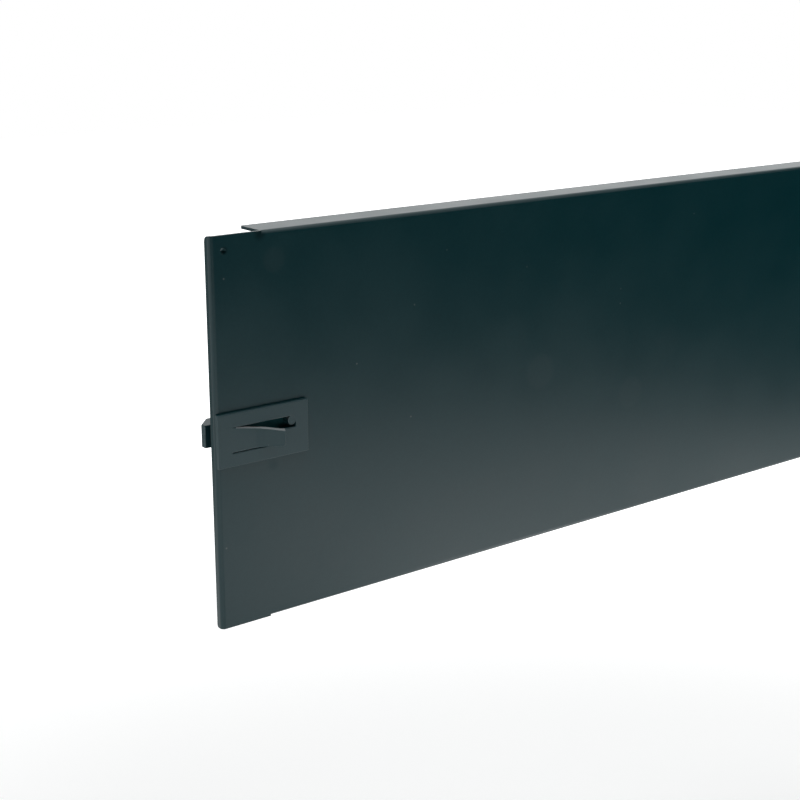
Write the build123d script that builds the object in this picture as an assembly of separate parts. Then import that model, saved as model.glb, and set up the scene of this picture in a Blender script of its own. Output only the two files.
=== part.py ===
"""Rack blanking panel, three spaces tall: one folded steel sheet and a moulded snap clip at each end.

The row frame has +X along the width, to the right as seen from the front, the front face towards -Y
and +Z up. Its origin lies in the plane where the panel's ends seat on the rack's two front rails,
midway between the rails and at mid-height. All lengths are in millimetres.
"""
import os
from math import cos, radians, sin

from build123d import *

# Rack and panel: a 19-inch rack, with 44.45 mm for each space in its height. The panel laps each rail
space_height = 44.45
space_count = 3
height_clearance = 0.8
panel_width = 482.6
rail_lap = 16.3

# Folded sheet: depths are measured from its front face
sheet_thickness = 1.0
bend_inner_radius = 0.5
end_return_depth = 3.2
end_return_top_corner = 2.0
end_return_bottom_corner = 1.0
flange_depth = 13.0
flange_side_clearance = 3.0
flange_corner = 1.0
dimple_radius = 1.1
dimple_depth = 0.3
dimple_from_end = 4.9
dimple_from_top = 5.1

# Clip's front plate, flush with the panel's end. The clip sits below mid-height, so that the panel stays
# midway in its space when the hooks rest on the lower edges of the rail's holes
clip_drop = 0.6
plate_length = 35.0
plate_height = 18.1
plate_thickness = 1.5
plate_edge_radius = 0.3

# Window in the plate: a low step at its far end leaves a finger gap above the step
window_start = 5.2
window_length = 24.75
window_top = 4.2
window_bottom = 4.45
window_step_start = 19.0
window_step_top = 0.25
window_corner = 0.4

# Pull tongue in the window: flat at its root, flared forward at its tip
tongue_thickness = 1.6
tongue_gap = 0.12
tongue_slit_start = 1.8
tongue_length = 18.4
tongue_tip_drop = 3.0
tongue_flat_length = 8.8
tongue_bend_radius = 8.0
tongue_flare_angle = 28.7
tongue_tip_corner = 0.5
tongue_lip_radius = 0.5
hinge_groove_from_root = 0.4
hinge_groove_radius = 0.6
hinge_groove_depth = 0.5

# Hook arm behind the tongue's root: its barb catches behind the rail
arm_from_root = 1.2
arm_thickness = 2.6
arm_root_fillet = 0.8
hook_height = 7.8
hook_drop = 0.2
hook_grip = 4.3
hook_land = 2.25
hook_from_end = 0.35
hook_lead_width = 4.85
hook_lead_length = 5.2
hook_corner = 0.6
hook_edge_radius = 0.35

# Clip's body, which passes through the sheet and ends short of the rail
body_start = 3.2
body_length = 28.8
body_height = 12.0
body_wall = 1.2
body_corner = 0.6
body_fit = 0.2
body_rail_gap = 0.6
floor_thickness = 1.0
floor_arm_clearance = 1.8

# Round stop boss in the window's upper far corner
boss_radius = 1.55
boss_from_end = 1.45
boss_from_top = 1.45
boss_step = 0.1

# Snap lugs behind the sheet, each on a finger that slots free from the body's wall
lug_place_shares = (0.42, 0.84)
lug_length = 5.0
lug_height = 1.2
lug_land = 0.35
lug_fit = 0.05
finger_slot = 0.8
finger_root = 0.4

# One overrun serves every cut
overrun = 1.0

panel_height = space_count * space_height - height_clearance
tab_length = rail_lap + flange_side_clearance
flange_length = panel_width - 2 * tab_length
bend_outer_radius = bend_inner_radius + sheet_thickness
body_depth = end_return_depth - body_rail_gap
window_end = window_start + window_length
tongue_base = tongue_gap - window_bottom
tongue_back = tongue_thickness - plate_thickness
arm_start = window_start + arm_from_root
arm_end = arm_start + arm_thickness
catch_depth = end_return_depth + hook_grip

# The panel's left end: X runs inward from the end, Y to the rear from the front face
left_end_place = Pos(-panel_width / 2, -end_return_depth, 0)
left_clip_place = left_end_place * Pos(0, 0, -clip_drop)


def box_between(low, high):
    """A box between its lowest and its highest corner."""
    size = Vector(*high) - Vector(*low)
    return Pos(*low) * Box(size.X, size.Y, size.Z, align=(Align.MIN, Align.MIN, Align.MIN))


def from_front(outline, front, back):
    """Extrudes an outline seen from the front, between two depths."""
    return extrude(Plane.XZ.offset(-back) * outline, amount=back - front, dir=(0, -1, 0))


def from_above(plan, low, high):
    """Extrudes a plan, between two heights."""
    return extrude(Pos(0, 0, low) * plan, amount=high - low, dir=(0, 0, 1))


def from_side(section, start, end):
    """Extrudes a section seen along the width, between two places along it."""
    return extrude(Plane.YZ.offset(start) * section, amount=end - start, dir=(1, 0, 0))


def bent_section(run, depth):
    """Section of a bent sheet: a wall along the first axis, and a leg folded to the second."""
    corner = Rectangle(bend_outer_radius, bend_outer_radius, align=(Align.MIN, Align.MIN))
    wall = Rectangle(run, sheet_thickness, align=(Align.MIN, Align.MIN))
    leg = Rectangle(sheet_thickness, depth, align=(Align.MIN, Align.MIN))
    centre = Pos(bend_outer_radius, bend_outer_radius)
    bend = corner & (centre * Circle(bend_outer_radius) - centre * Circle(bend_inner_radius))
    return (wall + leg - corner) + bend


def flanged_middle():
    """The sheet's middle, with the top and bottom flanges folded to the rear."""
    half = bent_section(panel_height / 2, flange_depth)
    section = half + Pos(panel_height, 0) * mirror(half, about=Plane.YZ)
    # The section stands on end: its first axis runs up and its second to the rear
    standing = Plane(
        origin=(-flange_length / 2, -end_return_depth, -panel_height / 2),
        x_dir=(0, 0, 1),
        z_dir=(-1, 0, 0))
    return extrude(standing * section, amount=flange_length, dir=(1, 0, 0)) & flange_outline()


def flange_outline():
    """Seen from above, the flanges' rear corners are rounded."""
    side = flange_length / 2
    outline = Pos(-side, -end_return_depth) * Rectangle(
        flange_length, flange_depth, align=(Align.MIN, Align.MIN))
    outline = fillet(outline.vertices().sort_by(Axis.Y)[-2:], flange_corner)
    return from_above(outline, -panel_height / 2, panel_height / 2)


def left_end_tab():
    """The flat tab at the left end, whose outer edge is folded back to stand on the rail."""
    section = bent_section(tab_length, end_return_depth)
    tab = from_above(section, -panel_height / 2, panel_height / 2)
    side = Pos(end_return_depth / 2, 0) * Rectangle(end_return_depth, panel_height)
    side = fillet(side.vertices().group_by(Axis.Y)[-1].sort_by(Axis.X)[-1:], end_return_top_corner)
    side = fillet(side.vertices().group_by(Axis.Y)[0].sort_by(Axis.X)[-1:], end_return_bottom_corner)
    return left_end_place * (tab & from_side(side, 0, tab_length))


def clip_opening():
    """The rounded opening in the sheet that the left clip's body passes through."""
    outline = RectangleRounded(
        body_length + 2 * body_fit, body_height + 2 * body_fit, body_corner + body_fit)
    outline = Pos(body_start + body_length / 2, 0) * outline
    return left_clip_place * from_front(outline, -overrun, sheet_thickness + overrun)


def panel_sheet():
    """The whole folded sheet, with two clip openings and a small dimple at its top left."""
    tab = left_end_tab()
    opening = clip_opening()
    sheet = flanged_middle() + tab + mirror(tab, about=Plane.YZ)
    return sheet - opening - mirror(opening, about=Plane.YZ) - dimple()


def dimple():
    """The small round dimple in the face, cut by a ball whose centre is in front of the sheet."""
    ball_radius = (dimple_radius ** 2 + dimple_depth ** 2) / (2 * dimple_depth)
    place = Pos(dimple_from_end, dimple_depth - ball_radius, panel_height / 2 - dimple_from_top)
    return left_end_place * place * Sphere(ball_radius)


def window_outline():
    """The window seen from the front: a step fills its lower far corner, and its upper one suits the boss."""
    step = window_start + window_step_start
    outline = Polygon(
        (window_start, -window_bottom), (step, -window_bottom), (step, window_step_top),
        (window_end, window_step_top), (window_end, window_top), (window_start, window_top), align=None)
    corners = outline.vertices().sort_by_distance((window_end, window_top))
    outline = fillet(corners[1:], window_corner)
    boss_corner = outline.vertices().sort_by_distance((window_end, window_top))[:1]
    return fillet(boss_corner, boss_radius)


def clip_plate():
    """The clip's front plate with its window, and all front edges softened."""
    outline = Pos(plate_length / 2, 0) * Rectangle(plate_length, plate_height)
    plate = from_front(outline - window_outline(), -plate_thickness, 0)
    front_edges = plate.faces().sort_by(Axis.Y)[0].edges()
    return fillet(front_edges, plate_edge_radius)


def tongue_curve(depth):
    """One face of the tongue seen from above, at a depth behind the plate's front."""
    turn = radians(tongue_flare_angle)
    radius = tongue_bend_radius + depth
    # The root runs under the rounded edge of the window
    root = window_start - plate_edge_radius
    flat_end = window_start + tongue_flat_length
    flare_run = tongue_length - tongue_flat_length - tongue_bend_radius * sin(turn)
    flat = Line((root, depth - plate_thickness), (flat_end, depth - plate_thickness))
    bend = JernArc(start=flat @ 1, tangent=(1, 0), radius=radius, arc_size=-tongue_flare_angle)
    flare = Line(bend @ 1, (bend @ 1) + (bend % 1) * (flare_run / cos(turn)))
    return [flat, bend, flare]


def tongue_outline():
    """The tongue seen from the front: a slit parts its top from the window, and widens to the tip."""
    root = window_start - plate_edge_radius
    tip = window_start + tongue_length
    outline = Polygon(
        (root, tongue_base), (tip, tongue_base), (tip, window_top - tongue_tip_drop),
        (window_start + tongue_slit_start, window_top), (root, window_top), align=None)
    return fillet(outline.vertices().sort_by(Axis.X)[-2:], tongue_tip_corner)


def tongue():
    """The pull tongue: a tapered strip that flares forward, with a rounded lip round its free edges."""
    front = tongue_curve(0)
    back = tongue_curve(tongue_thickness)
    tip = Line(front[-1] @ 1, back[-1] @ 1)
    root = Line(back[0] @ 0, front[0] @ 0)
    strip = from_above(make_face([*front, tip, *back, root]), -window_bottom, window_top)
    strip = strip & from_front(tongue_outline(), -tongue_length, tongue_length)
    # The top is the face that looks up most, and a front face turns aside no further than the flare.
    # From the top, the lip runs on round the tip and along the foot, because the tip's corners are rounded
    top = strip.faces().sort_by(lambda face: face.normal_at().Z * face.area)[-1]
    least_facing = sin(radians(tongue_flare_angle))
    front_faces = strip.faces().filter_by(lambda face: face.normal_at().Y < -least_facing)
    strip = fillet(top.edges() & front_faces.edges(), tongue_lip_radius)
    groove_y = tongue_back + hinge_groove_radius - hinge_groove_depth
    groove = Pos(window_start + hinge_groove_from_root, groove_y) * Circle(hinge_groove_radius)
    return strip - from_above(groove, -window_bottom, window_top)


def hook():
    """The arm behind the tongue's root, with the barb that catches behind the rail."""
    land_end = catch_depth + hook_land
    tip_depth = land_end + hook_lead_length
    plan = Polygon(
        (arm_start, tongue_back), (arm_start, catch_depth), (hook_from_end, catch_depth),
        (hook_from_end, land_end), (hook_from_end + hook_lead_width, tip_depth),
        (arm_end, tip_depth), (arm_end, tongue_back), align=None)
    plan = fillet(plan.vertices().group_by(Axis.Y)[-1], hook_corner)
    plan = fillet(plan.vertices().group_by(Axis.X)[0], hook_edge_radius)
    arm = from_above(plan, -hook_height / 2 - hook_drop, hook_height / 2 - hook_drop)
    levels = arm.edges().group_by(Axis.Z)
    return fillet(levels[0] + levels[-1], hook_edge_radius)


def arm_root():
    """The rounded web that joins the arm's inner side to the back of the tongue."""
    corner = Pos(arm_end, tongue_back) * Rectangle(
        arm_root_fillet, arm_root_fillet, align=(Align.MIN, Align.MIN))
    hollow = Pos(arm_end + arm_root_fillet, tongue_back + arm_root_fillet) * Circle(arm_root_fillet)
    straight = hook_height / 2 - hook_edge_radius
    return from_above(corner - hollow, -straight - hook_drop, straight - hook_drop)


def clip_body():
    """The rim behind the plate and the floor between its walls, open behind the hook arm."""
    middle = body_start + body_length / 2
    outline = Pos(middle, 0) * RectangleRounded(body_length, body_height, body_corner)
    inside = Pos(middle, 0) * Rectangle(body_length - 2 * body_wall, body_height - 2 * body_wall)
    rim = from_front(outline - inside, 0, body_depth)
    floor_start = arm_end + floor_arm_clearance
    floor = box_between(
        (floor_start, body_depth - floor_thickness, -body_height / 2 + body_wall),
        (body_start + body_length - body_wall, body_depth, body_height / 2 - body_wall))
    return rim + floor


def stop_boss():
    """The round boss that stands on the floor in the window's upper far corner."""
    place = Pos(window_end - boss_from_end, window_top - boss_from_top)
    return from_front(place * Circle(boss_radius), boss_step - plate_thickness, body_depth - floor_thickness)


def snap_lug(place_share):
    """One wedge above the body, whose steep face holds the back of the sheet."""
    wall_top = body_height / 2
    front = sheet_thickness + lug_fit
    section = Polygon(
        (front, wall_top - body_wall), (front, wall_top + lug_height),
        (front + lug_land, wall_top + lug_height), (body_depth, wall_top),
        (body_depth, wall_top - body_wall), align=None)
    start = body_start + body_length * place_share - lug_length / 2
    return from_side(section, start, start + lug_length)


def finger_slots(place_share):
    """The slot around one lug that frees its finger: one at each side and one along the floor."""
    wall_top = body_height / 2
    start = body_start + body_length * place_share - lug_length / 2
    end = start + lug_length
    floor_edge = wall_top - body_wall
    slots = box_between(
        (start - finger_slot, body_depth - floor_thickness - overrun, floor_edge - finger_slot),
        (end + finger_slot, body_depth + overrun, floor_edge))
    for side in (start - finger_slot, end):
        slots += box_between(
            (side, finger_root, floor_edge),
            (side + finger_slot, body_depth + overrun, wall_top + overrun))
    return slots


def left_clip():
    """The whole moulded clip at the panel's left end, one solid."""
    body = clip_body()
    for share in lug_place_shares:
        slots = finger_slots(share)
        lug = snap_lug(share)
        body = body - slots - mirror(slots, about=Plane.XY)
        body = body + lug + mirror(lug, about=Plane.XY)
    clip = clip_plate() + body + stop_boss() + tongue() + hook() + arm_root()
    return left_clip_place * clip


os.makedirs("parts", exist_ok=True)
clip = left_clip()
export_step(panel_sheet(), "parts/panel_sheet.step")
export_step(clip, "parts/left_clip.step")
export_step(mirror(clip, about=Plane.YZ), "parts/right_clip.step")
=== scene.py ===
"""Rack blanking panel: the finishes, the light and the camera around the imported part.

Lengths are in metres and angles in degrees. X runs along the panel's width, Y to the rear and Z up,
with the origin in the plane where the panel's ends seat on the rails, at mid-height.
"""

from math import cos, radians, sin

import bmesh
import bpy
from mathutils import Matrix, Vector

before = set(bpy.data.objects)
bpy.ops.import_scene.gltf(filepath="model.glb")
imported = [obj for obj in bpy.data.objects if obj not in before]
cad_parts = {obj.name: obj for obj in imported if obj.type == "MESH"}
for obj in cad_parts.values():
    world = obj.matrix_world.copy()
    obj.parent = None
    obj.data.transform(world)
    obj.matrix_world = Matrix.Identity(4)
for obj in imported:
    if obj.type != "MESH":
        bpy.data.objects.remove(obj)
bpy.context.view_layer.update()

SHEET = "panel_sheet"
CLIPS = ("left_clip", "right_clip")
# The sheet's front face in the row frame
SHEET_FACE = -0.0032

# Camera, fitted to the panel's outline in the photograph
CAMERA_PLACE = (-0.4792, -0.4079, 0.1448)
CAMERA_TILT = 74.27
CAMERA_TURN = -37.71
CAMERA_LENS = 68.05
CAMERA_CLIP_START = 0.01
SENSOR_WIDTH = 36.0

# Studio. The screens stand round this centre, and the lamps aim at it
STUDIO_CENTRE = (-0.10, 0.0, 0.0)
WHITE = (1.0, 1.0, 1.0, 1.0)
# How much of the white room's light reaches the part's matt shading
ROOM_FILL = 0.70

# The panel is lit from low in front, so its floor lies well below it. The floor glows least near
# the origin, where the panel's shadow falls, and fully from the end of the reach on
FLOOR_LEVEL = -0.34
FLOOR_SIZE = 8.0
FLOOR_COLOUR = (0.86, 0.87, 0.87, 1.0)
FLOOR_ROUGHNESS = 0.9
FLOOR_GLOW_NEAR = 0.32
FLOOR_GLOW_REACH = (0.30, 1.00)
ALONG_FLOOR = (1.0, 1.0, 0.0)

# Dark screens in front of the panel and at its rear left: name, first and last turn from the front
# to the right, and heights of foot and head
SCREEN_COLOUR = (0.004, 0.004, 0.004, 1.0)
SCREEN_ROUGHNESS = 1.0
SCREEN_RADIUS = 0.75
SCREEN_STEPS = 32
SCREENS = (
    ("right_dark_screen", 5, 85, -0.24, 0.80),
    ("left_dark_screen", -60, 5, -0.10, 1.00),
    ("rear_dark_screen", -190, -136, -0.30, 0.02),
)

# Lamps: name, turn from the front to the right, rise, distance from the centre, size and power
LAMPS = (
    ("low_key_lamp", 47, -43, 0.45, (0.14, 0.12), 0.30),
    ("low_right_strip", 39, -29, 0.45, (0.64, 0.15), 0.30),
    ("low_left_strip", -38, -17, 0.45, (0.40, 0.12), 0.12),
    ("upper_right_box", 46, 38, 0.45, (0.36, 0.22), 0.22),
    ("overhead_lamp", 47, 75, 1.60, (0.50, 0.50), 6.0),
    ("rear_strip", 138, 9, 1.20, (1.30, 0.20), 0.33),
)

# Grain of both finishes. A noise has a share of the grain's scale, a detail and a roughness
FINE_NOISE = (1.0, 2.0, 0.55)
BROAD_NOISE = (0.3, 1.0, 0.5)
FLECK_NOISE = (0.7, 1.0, 0.5)
DRIFT_NOISE = (0.02, 3.0, 0.6)
BROAD_SHARE = 0.6
FLECK_REACH = (0.40, 0.66)
DRIFT_REACH = (0.3, 0.7)
# How far flecks and drift move a finish from its colour to its pale one
FLECK_SHARE = 0.35
DRIFT_SHARE = 0.35
ROUGHNESS_SPREAD = 0.04
BUMP_STRENGTH = 1.0

# Edges of both finishes, paled as wear and as painted highlight
EDGE_WEAR_AND_HIGHLIGHT_WIDTH = 0.0004
EDGE_WEAR_AND_HIGHLIGHT_SAMPLES = 4
EDGE_WEAR_AND_HIGHLIGHT_REACH = (0.02, 0.25)
EDGE_WEAR_AND_HIGHLIGHT_LEAST = 0.3
EDGE_WEAR_AND_HIGHLIGHT_POLISH = 0.04

# Powder coat on the sheet
COAT_COLOUR = (0.0010, 0.0285, 0.0345, 1.0)
COAT_PALE = (0.0030, 0.0340, 0.0405, 1.0)
COAT_ROUGHNESS = 0.31
COAT_GLOSS = 0.30
COAT_GRAIN = 1600
COAT_GRAIN_DEPTH = 0.00001
COAT_EDGE_SHARE = 0.35

# Moulding of the clips
PLASTIC_COLOUR = (0.0035, 0.0320, 0.0390, 1.0)
PLASTIC_PALE = (0.0065, 0.0380, 0.0460, 1.0)
PLASTIC_ROUGHNESS = 0.45
PLASTIC_GLOSS = 0.45
PLASTIC_GRAIN = 2600
PLASTIC_GRAIN_DEPTH = 0.000006
# The clips' edge colour: wear and a painted highlight along their rounded edges
PLASTIC_EDGE_COLOUR = (0.1000, 0.1250, 0.1300, 1.0)
PLASTIC_EDGE_SHARE = 0.60

# The clips' inner walls, which look dull and are painted lighter as painted light: where in depth
# they start and end
INNER_PAINTED_LIGHT_COLOUR = (0.0040, 0.0600, 0.0680, 1.0)
INNER_ROUGHNESS = 0.95
INNER_START = (-0.0034, -0.0028)
INNER_END = (-0.0012, -0.0004)

# The pull tongue's lip, painted pale as a highlight along its upward side: how far it faces up, its
# span along the width, its heights, and the depth that it ends at
LIP_HIGHLIGHT_COLOUR = (0.2600, 0.2900, 0.3000, 1.0)
LIP_HIGHLIGHT_SHARE = 0.90
LIP_FACING = (0.10, 0.40)
LIP_SPAN = (0.2156, 0.2345)
LIP_HEIGHTS = (-0.0030, 0.0045)
LIP_BACK = -0.0034

# Sparse dust on the clips: the share of cells that hold a speck, and how far it reaches in its cell
DUST_COLOUR = (0.2500, 0.2600, 0.2500, 1.0)
DUST_SCALE = 260.0
DUST_CELL_SHARE = 0.15
DUST_STRENGTH = 0.3
DUST_REACH = (0.03, 0.07)

# Marks lie on the sheet's front, down to this depth. A core is the share of a mark's radius that
# has its full strength
MARK_DEPTH = 0.0005
# Handling smudges: place along the width, height, radius and strength
# The smudge colour also pales the coat's edges, as wear and painted highlight
SMUDGE_AND_EDGE_HIGHLIGHT_COLOUR = (0.0300, 0.0520, 0.0570, 1.0)
SMUDGE_CORE = 0.70
SMUDGE_ROUGHNESS = 0.3
SMUDGES = (
    (-0.0993, 0.0004, 0.0078, 0.10),
    (-0.0500, -0.0161, 0.0075, 0.09),
    (-0.1941, -0.0498, 0.0075, 0.10),
    (-0.2075, -0.0515, 0.0062, 0.08),
    (-0.2176, 0.0564, 0.0048, 0.10),
    (-0.0292, 0.0016, 0.0075, 0.04),
)
# Single specks of dust: place along the width, height and strength
SPECK_RADIUS = 0.0005
SPECK_CORE = 0.20
SPECKS = (
    (-0.1849, 0.0168, 0.30),
    (-0.1599, 0.0341, 0.25),
    (-0.1614, -0.0062, 0.25),
    (-0.0577, 0.0212, 0.25),
    (-0.0577, 0.0270, 0.20),
    (-0.0176, 0.0526, 0.25),
    (-0.2387, -0.0377, 0.30),
    (-0.2365, 0.0524, 0.30),
    (-0.1074, 0.0414, 0.15),
    (-0.1455, 0.0518, 0.15),
)
# Painted shade: dark soft spots that stand in for shade, one of them in the dimple: place along the
# width, height, radius and strength
PAINTED_SHADE_COLOUR = (0.0004, 0.0050, 0.0060, 1.0)
PAINTED_SHADE_CORE = 0.10
PAINTED_SHADES = (
    (-0.2361, 0.0613, 0.0017, 0.85),
    (-0.2227, 0.0653, 0.0030, 0.40),
    (-0.2196, -0.0125, 0.0030, 0.18),
)

# The Mix node's colour sockets, which share their names with those of its other kinds
MIX_START = 6
MIX_END = 7
MIX_RESULT = 2


def add(tree, kind, **settings):
    """Adds a node and sets its properties."""
    node = tree.nodes.new(kind)
    for name, value in settings.items():
        setattr(node, name, value)
    return node


def give(tree, socket, given):
    """Feeds a socket from another one, or sets its value."""
    if isinstance(given, bpy.types.NodeSocket):
        tree.links.new(given, socket)
    else:
        socket.default_value = given


def value_of(tree, operation, first, second=None, third=None, clamp=False):
    """The output of a Math node on sockets or numbers."""
    node = add(tree, "ShaderNodeMath", operation=operation, use_clamp=clamp)
    for socket, given in zip(node.inputs, (first, second, third)):
        if given is not None:
            give(tree, socket, given)
    return node.outputs[0]


def parts_of(tree, vector):
    """The X, Y and Z of a vector."""
    node = add(tree, "ShaderNodeSeparateXYZ")
    tree.links.new(vector, node.inputs[0])
    return node.outputs


def blend(tree, share, start, end):
    """A colour between two, by a share: each colour is a socket or four numbers."""
    node = add(tree, "ShaderNodeMix", data_type="RGBA")
    tree.links.new(share, node.inputs["Factor"])
    give(tree, node.inputs[MIX_START], start)
    give(tree, node.inputs[MIX_END], end)
    return node.outputs[MIX_RESULT]


def noise(tree, place, scale, share, detail, roughness):
    """The value of a noise pattern, whose scale is a share of another."""
    node = add(tree, "ShaderNodeTexNoise")
    tree.links.new(place, node.inputs["Vector"])
    tree.links.new(value_of(tree, "MULTIPLY", scale, share), node.inputs["Scale"])
    node.inputs["Detail"].default_value = detail
    node.inputs["Roughness"].default_value = roughness
    return node.outputs[0]


def between(tree, value, low, high):
    """A share that rises smoothly from nought to one as a value goes from low to high."""
    node = add(tree, "ShaderNodeMapRange", interpolation_type="SMOOTHSTEP")
    tree.links.new(value, node.inputs["Value"])
    give(tree, node.inputs["From Min"], low)
    give(tree, node.inputs["From Max"], high)
    return node.outputs[0]


def within(tree, value, low, high):
    """One where a value lies between two limits, and nought elsewhere."""
    above = value_of(tree, "GREATER_THAN", value, low)
    return value_of(tree, "MULTIPLY", above, value_of(tree, "LESS_THAN", value, high))


def new_group(name, inputs, outputs):
    """A shader node group with its named sockets, and its two end nodes."""
    group = bpy.data.node_groups.new(name, "ShaderNodeTree")
    for socket, kind in inputs:
        group.interface.new_socket(socket, in_out="INPUT", socket_type=kind)
    for socket, kind in outputs:
        group.interface.new_socket(socket, in_out="OUTPUT", socket_type=kind)
    return group, add(group, "NodeGroupInput"), add(group, "NodeGroupOutput")


def placed(tree, group, **given):
    """A group's node in a material, its inputs fed from sockets or set to values."""
    node = add(tree, "ShaderNodeGroup", node_tree=group)
    for name, value in given.items():
        give(tree, node.inputs[name], value)
    return node


def grain_group():
    """Fine grain of a surface, its flecks, and the slow drift of its tone."""
    group, start, end = new_group(
        "surface_grain",
        (("Place", "NodeSocketVector"), ("Scale", "NodeSocketFloat")),
        (("Height", "NodeSocketFloat"), ("Fleck", "NodeSocketFloat"),
         ("Drift", "NodeSocketFloat")))
    place, scale = start.outputs["Place"], start.outputs["Scale"]
    fine = noise(group, place, scale, *FINE_NOISE)
    broad = noise(group, place, scale, *BROAD_NOISE)
    height = value_of(group, "MULTIPLY_ADD", broad, BROAD_SHARE, fine)
    fleck = between(group, noise(group, place, scale, *FLECK_NOISE), *FLECK_REACH)
    drift = between(group, noise(group, place, scale, *DRIFT_NOISE), *DRIFT_REACH)
    group.links.new(height, end.inputs["Height"])
    group.links.new(fleck, end.inputs["Fleck"])
    group.links.new(drift, end.inputs["Drift"])
    return group


def spot_group():
    """A round spot about a centre: flat in the middle, with a soft edge."""
    group, start, end = new_group(
        "soft_spot",
        (("Place", "NodeSocketVector"), ("Centre", "NodeSocketVector"),
         ("Radius", "NodeSocketFloat"), ("Core", "NodeSocketFloat")),
        (("Mask", "NodeSocketFloat"),))
    apart = add(group, "ShaderNodeVectorMath", operation="DISTANCE")
    group.links.new(start.outputs["Place"], apart.inputs[0])
    group.links.new(start.outputs["Centre"], apart.inputs[1])
    share = value_of(group, "DIVIDE", apart.outputs["Value"], start.outputs["Radius"])
    beyond = between(group, share, start.outputs["Core"], 1.0)
    group.links.new(value_of(group, "SUBTRACT", 1.0, beyond), end.inputs["Mask"])
    return group


def dust_group():
    """Sparse dust specks: the scale sets how close they lie, and the share how many there are."""
    group, start, end = new_group(
        "dust_specks",
        (("Place", "NodeSocketVector"), ("Scale", "NodeSocketFloat"), ("Share", "NodeSocketFloat")),
        (("Mask", "NodeSocketFloat"),))
    cells = add(group, "ShaderNodeTexVoronoi", feature="F1")
    group.links.new(start.outputs["Place"], cells.inputs["Vector"])
    group.links.new(start.outputs["Scale"], cells.inputs["Scale"])
    beyond = between(group, cells.outputs["Distance"], *DUST_REACH)
    speck = value_of(group, "SUBTRACT", 1.0, beyond)
    parts = add(group, "ShaderNodeSeparateColor")
    group.links.new(cells.outputs["Color"], parts.inputs[0])
    chosen = value_of(group, "LESS_THAN", parts.outputs[0], start.outputs["Share"])
    strength = value_of(group, "MULTIPLY", speck, parts.outputs[1])
    group.links.new(value_of(group, "MULTIPLY", strength, chosen), end.inputs["Mask"])
    return group


def edge_group():
    """Edges paled as wear and as painted highlight: where a rounded normal leaves the true one."""
    group, start, end = new_group(
        "worn_and_highlight_edge",
        (("Width", "NodeSocketFloat"), ("Patches", "NodeSocketFloat")),
        (("Mask", "NodeSocketFloat"),))
    rounded = add(group, "ShaderNodeBevel", samples=EDGE_WEAR_AND_HIGHLIGHT_SAMPLES)
    group.links.new(start.outputs["Width"], rounded.inputs["Radius"])
    true = add(group, "ShaderNodeNewGeometry")
    dot = add(group, "ShaderNodeVectorMath", operation="DOT_PRODUCT")
    group.links.new(rounded.outputs[0], dot.inputs[0])
    group.links.new(true.outputs["Normal"], dot.inputs[1])
    turned = value_of(group, "SUBTRACT", 1.0, dot.outputs["Value"])
    away = between(group, turned, *EDGE_WEAR_AND_HIGHLIGHT_REACH)
    patchy = value_of(
        group, "MULTIPLY_ADD", start.outputs["Patches"], 1.0 - EDGE_WEAR_AND_HIGHLIGHT_LEAST, EDGE_WEAR_AND_HIGHLIGHT_LEAST)
    group.links.new(value_of(group, "MULTIPLY", away, patchy), end.inputs["Mask"])
    return group


GRAIN = grain_group()
SPOT = spot_group()
DUST = dust_group()
EDGE = edge_group()


def new_material(name):
    """A new material, its tree and its shader."""
    material = bpy.data.materials.new(name)
    material.use_nodes = True
    return material, material.node_tree, material.node_tree.nodes["Principled BSDF"]


def finish_node(node_name, material):
    """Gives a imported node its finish."""
    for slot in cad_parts[node_name].material_slots:
        slot.material = material


def moulded_or_coated(
        name, colours, roughness, gloss, grain_scale, grain_depth, edge_colour, edge_share):
    """The build-up that both finishes share: grain, drift of tone, and edges paled as wear and
    painted highlight.
    """
    material, tree, shader = new_material(name)
    place = add(tree, "ShaderNodeTexCoord").outputs["Object"]
    grain = placed(tree, GRAIN, Place=place, Scale=grain_scale)
    fleck, drift = grain.outputs["Fleck"], grain.outputs["Drift"]
    drift_tone = value_of(tree, "MULTIPLY", drift, DRIFT_SHARE)
    tone = value_of(tree, "MULTIPLY_ADD", fleck, FLECK_SHARE, drift_tone)
    colour = blend(tree, tone, *colours)
    # Edges pale towards the edge colour: wear and painted highlight
    edge = placed(tree, EDGE, Width=EDGE_WEAR_AND_HIGHLIGHT_WIDTH, Patches=drift).outputs["Mask"]
    colour = blend(tree, value_of(tree, "MULTIPLY", edge, edge_share), colour, edge_colour)
    least = roughness - ROUGHNESS_SPREAD / 2
    rough = value_of(tree, "MULTIPLY_ADD", drift, ROUGHNESS_SPREAD, least)
    rough = value_of(tree, "MULTIPLY_ADD", edge, -EDGE_WEAR_AND_HIGHLIGHT_POLISH, rough)
    bump = add(tree, "ShaderNodeBump")
    bump.inputs["Strength"].default_value = BUMP_STRENGTH
    bump.inputs["Distance"].default_value = grain_depth
    tree.links.new(grain.outputs["Height"], bump.inputs["Height"])
    tree.links.new(bump.outputs["Normal"], shader.inputs["Normal"])
    shader.inputs["Specular IOR Level"].default_value = gloss
    return material, tree, shader, place, colour, rough


def marked(tree, place, front, x, z, radius, core, strength):
    """The share of a round mark on the sheet's front."""
    spot = placed(tree, SPOT, Place=place, Centre=(x, SHEET_FACE, z), Radius=radius, Core=core)
    share = value_of(tree, "MULTIPLY", spot.outputs["Mask"], strength)
    return value_of(tree, "MULTIPLY", share, front)


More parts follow.
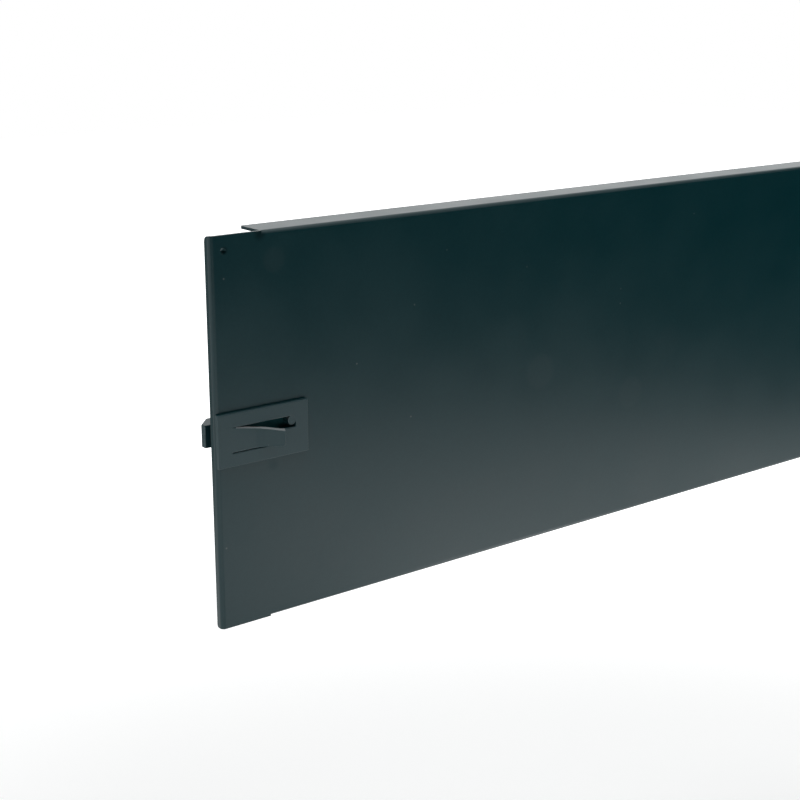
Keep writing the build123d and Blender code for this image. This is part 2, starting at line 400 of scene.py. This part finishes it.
def powder_coat():
    """Satin powder coat on the folded sheet, with smudges, specks and painted shade spots on its
    front.
    """
    # The smudge colour also pales the coat's edges, as wear and painted highlight
    material, tree, shader, place, colour, rough = moulded_or_coated(
        "satin_powder_coat", (COAT_COLOUR, COAT_PALE), COAT_ROUGHNESS, COAT_GLOSS, COAT_GRAIN,
        COAT_GRAIN_DEPTH, SMUDGE_AND_EDGE_HIGHLIGHT_COLOUR, COAT_EDGE_SHARE)
    depth = parts_of(tree, place)["Y"]
    front = value_of(tree, "LESS_THAN", depth, SHEET_FACE + MARK_DEPTH)
    for x, z, radius, strength in SMUDGES:
        share = marked(tree, place, front, x, z, radius, SMUDGE_CORE, strength)
        colour = blend(tree, share, colour, SMUDGE_AND_EDGE_HIGHLIGHT_COLOUR)
        rough = value_of(tree, "MULTIPLY_ADD", share, SMUDGE_ROUGHNESS, rough)
    for x, z, strength in SPECKS:
        share = marked(tree, place, front, x, z, SPECK_RADIUS, SPECK_CORE, strength)
        colour = blend(tree, share, colour, DUST_COLOUR)
    # The painted shade spots reflect less too: fed to Metallic, a dark metal has only its own dark
    # colour to reflect with
    dull = None
    # Painted shade: each spot darkens the coat where shade stands in
    for x, z, radius, strength in PAINTED_SHADES:
        share = marked(tree, place, front, x, z, radius, PAINTED_SHADE_CORE, strength)
        colour = blend(tree, share, colour, PAINTED_SHADE_COLOUR)
        dull = share if dull is None else value_of(tree, "MAXIMUM", dull, share)
    tree.links.new(dull, shader.inputs["Metallic"])
    tree.links.new(colour, shader.inputs["Base Color"])
    tree.links.new(rough, shader.inputs["Roughness"])
    return material


def painted_lip_highlight(tree, where):
    """The share of painted highlight on the upward side of a pull tongue's front edge."""
    normal = parts_of(tree, add(tree, "ShaderNodeNewGeometry").outputs["Normal"])
    share = between(tree, normal["Z"], *LIP_FACING)
    # Both clips at once: the right one mirrors the left one
    across = value_of(tree, "ABSOLUTE", where["X"])
    for inside in (
            within(tree, across, *LIP_SPAN),
            within(tree, where["Z"], *LIP_HEIGHTS),
            value_of(tree, "LESS_THAN", where["Y"], LIP_BACK)):
        share = value_of(tree, "MULTIPLY", share, inside)
    return value_of(tree, "MULTIPLY", share, LIP_HIGHLIGHT_SHARE)


def clip_moulding():
    """Satin moulded plastic of the clips, with sparse dust, a painted highlight on the lip, and
    dull inner walls painted lighter as painted light.
    """
    material, tree, shader, place, colour, rough = moulded_or_coated(
        "satin_moulding", (PLASTIC_COLOUR, PLASTIC_PALE), PLASTIC_ROUGHNESS, PLASTIC_GLOSS,
        PLASTIC_GRAIN, PLASTIC_GRAIN_DEPTH, PLASTIC_EDGE_COLOUR, PLASTIC_EDGE_SHARE)
    dust = placed(tree, DUST, Place=place, Scale=DUST_SCALE, Share=DUST_CELL_SHARE)
    dusty = value_of(tree, "MULTIPLY", dust.outputs["Mask"], DUST_STRENGTH)
    colour = blend(tree, dusty, colour, DUST_COLOUR)
    where = parts_of(tree, place)
    # Painted highlight: the lip is painted pale where a glint would fall
    colour = blend(tree, painted_lip_highlight(tree, where), colour, LIP_HIGHLIGHT_COLOUR)
    # Painted light: the inner walls are painted lighter than the moulding, and made rougher
    behind = between(tree, where["Y"], *INNER_START)
    beyond = between(tree, where["Y"], *INNER_END)
    inner = value_of(tree, "SUBTRACT", behind, beyond, clamp=True)
    colour = blend(tree, inner, colour, INNER_PAINTED_LIGHT_COLOUR)
    rougher = INNER_ROUGHNESS - PLASTIC_ROUGHNESS
    rough = value_of(tree, "MULTIPLY_ADD", inner, rougher, rough)
    tree.links.new(colour, shader.inputs["Base Color"])
    tree.links.new(rough, shader.inputs["Roughness"])
    return material


def seen_rays(tree):
    """One for camera, glossy and transmission rays, and nought for the rest."""
    path = add(tree, "ShaderNodeLightPath")
    both = value_of(tree, "ADD", path.outputs["Is Camera Ray"], path.outputs["Is Glossy Ray"])
    return value_of(tree, "ADD", both, path.outputs["Is Transmission Ray"], clamp=True)


def matt_material(name, colour, roughness):
    """A matt material without gloss, its tree and its shader."""
    material, tree, shader = new_material(name)
    shader.inputs["Base Color"].default_value = colour
    shader.inputs["Roughness"].default_value = roughness
    shader.inputs["Specular IOR Level"].default_value = 0.0
    return material, tree, shader


def staged(name, form, material):
    """Puts a finished bmesh into the studio, which isn't part of the object."""
    mesh = bpy.data.meshes.new(name)
    form.to_mesh(mesh)
    form.free()
    mesh.materials.append(material)
    piece = bpy.data.objects.new(name, mesh)
    bpy.context.scene.collection.objects.link(piece)
    return piece


def pale_floor():
    """A pale floor that looks white and keeps the panel's soft shadow."""
    material, tree, shader = matt_material("pale_floor", FLOOR_COLOUR, FLOOR_ROUGHNESS)
    flat = add(tree, "ShaderNodeVectorMath", operation="MULTIPLY")
    tree.links.new(add(tree, "ShaderNodeTexCoord").outputs["Object"], flat.inputs[0])
    flat.inputs[1].default_value = ALONG_FLOOR
    reach = add(tree, "ShaderNodeVectorMath", operation="LENGTH")
    tree.links.new(flat.outputs[0], reach.inputs[0])
    far = between(tree, reach.outputs["Value"], *FLOOR_GLOW_REACH)
    strength = value_of(tree, "MULTIPLY_ADD", far, 1.0 - FLOOR_GLOW_NEAR, FLOOR_GLOW_NEAR)
    glow = add(tree, "ShaderNodeEmission")
    glow.inputs["Color"].default_value = WHITE
    seen_strength = value_of(tree, "MULTIPLY", seen_rays(tree), strength)
    tree.links.new(seen_strength, glow.inputs["Strength"])
    both = add(tree, "ShaderNodeAddShader")
    tree.links.new(shader.outputs[0], both.inputs[0])
    tree.links.new(glow.outputs[0], both.inputs[1])
    tree.links.new(both.outputs[0], tree.nodes["Material Output"].inputs["Surface"])
    form = bmesh.new()
    bmesh.ops.create_grid(form, x_segments=1, y_segments=1, size=FLOOR_SIZE / 2)
    bmesh.ops.translate(form, vec=(0, 0, FLOOR_LEVEL), verts=form.verts)
    floor = staged("pale_floor", form, material)
    # The floor casts no shadow, so the room's light from below still reaches the panel
    floor.visible_shadow = False


def dark_screens():
    """Dark curved screens, which keep light off the part and show in its gloss."""
    material, _, _ = matt_material("dark_screen", SCREEN_COLOUR, SCREEN_ROUGHNESS)
    for name, first, last, low, high in SCREENS:
        form = bmesh.new()
        turn = radians(first)
        side = Vector(STUDIO_CENTRE) + SCREEN_RADIUS * Vector((sin(turn), -cos(turn), 0))
        foot = form.verts.new((side.x, side.y, low))
        head = form.verts.new((side.x, side.y, high))
        edge = form.edges.new((foot, head))
        bmesh.ops.spin(
            form, geom=[foot, head, edge], cent=STUDIO_CENTRE, axis=(0, 0, 1),
            steps=SCREEN_STEPS, angle=radians(last - first), use_merge=False)
        screen = staged(name, form, material)
        screen.visible_camera = False
        screen.visible_transmission = False


def white_room():
    """The room looks white, and fills the shade with a plain soft light."""
    world = bpy.data.worlds.new("white_room")
    world.use_nodes = True
    tree = world.node_tree
    back = tree.nodes["Background"]
    back.inputs["Color"].default_value = WHITE
    strength = value_of(tree, "MULTIPLY_ADD", seen_rays(tree), 1.0 - ROOM_FILL, ROOM_FILL)
    tree.links.new(strength, back.inputs["Strength"])
    bpy.context.scene.world = world


def soft_box(name, turn, rise, distance, size, power):
    """An area lamp that shines towards the studio's centre, which the camera doesn't see."""
    turn, rise = radians(turn), radians(rise)
    away = Vector((sin(turn) * cos(rise), -cos(turn) * cos(rise), sin(rise)))
    lamp = bpy.data.lights.new(name, "AREA")
    lamp.shape = "RECTANGLE"
    lamp.size, lamp.size_y = size
    lamp.energy = power
    piece = bpy.data.objects.new(name, lamp)
    piece.location = Vector(STUDIO_CENTRE) + distance * away
    piece.rotation_euler = away.to_track_quat("Z", "Y").to_euler()
    piece.visible_camera = False
    bpy.context.scene.collection.objects.link(piece)


def camera():
    """The camera at the photograph's place, angle and framing."""
    lens = bpy.data.cameras.new("camera")
    lens.lens = CAMERA_LENS
    lens.sensor_width = SENSOR_WIDTH
    lens.clip_start = CAMERA_CLIP_START
    piece = bpy.data.objects.new("camera", lens)
    piece.location = CAMERA_PLACE
    piece.rotation_euler = (radians(CAMERA_TILT), 0, radians(CAMERA_TURN))
    bpy.context.scene.collection.objects.link(piece)
    bpy.context.scene.camera = piece


finish_node(SHEET, powder_coat())
clip_finish = clip_moulding()
for clip in CLIPS:
    finish_node(clip, clip_finish)
pale_floor()
dark_screens()
white_room()
for lamp_settings in LAMPS:
    soft_box(*lamp_settings)
camera()
bpy.context.scene.view_settings.view_transform = "Standard"
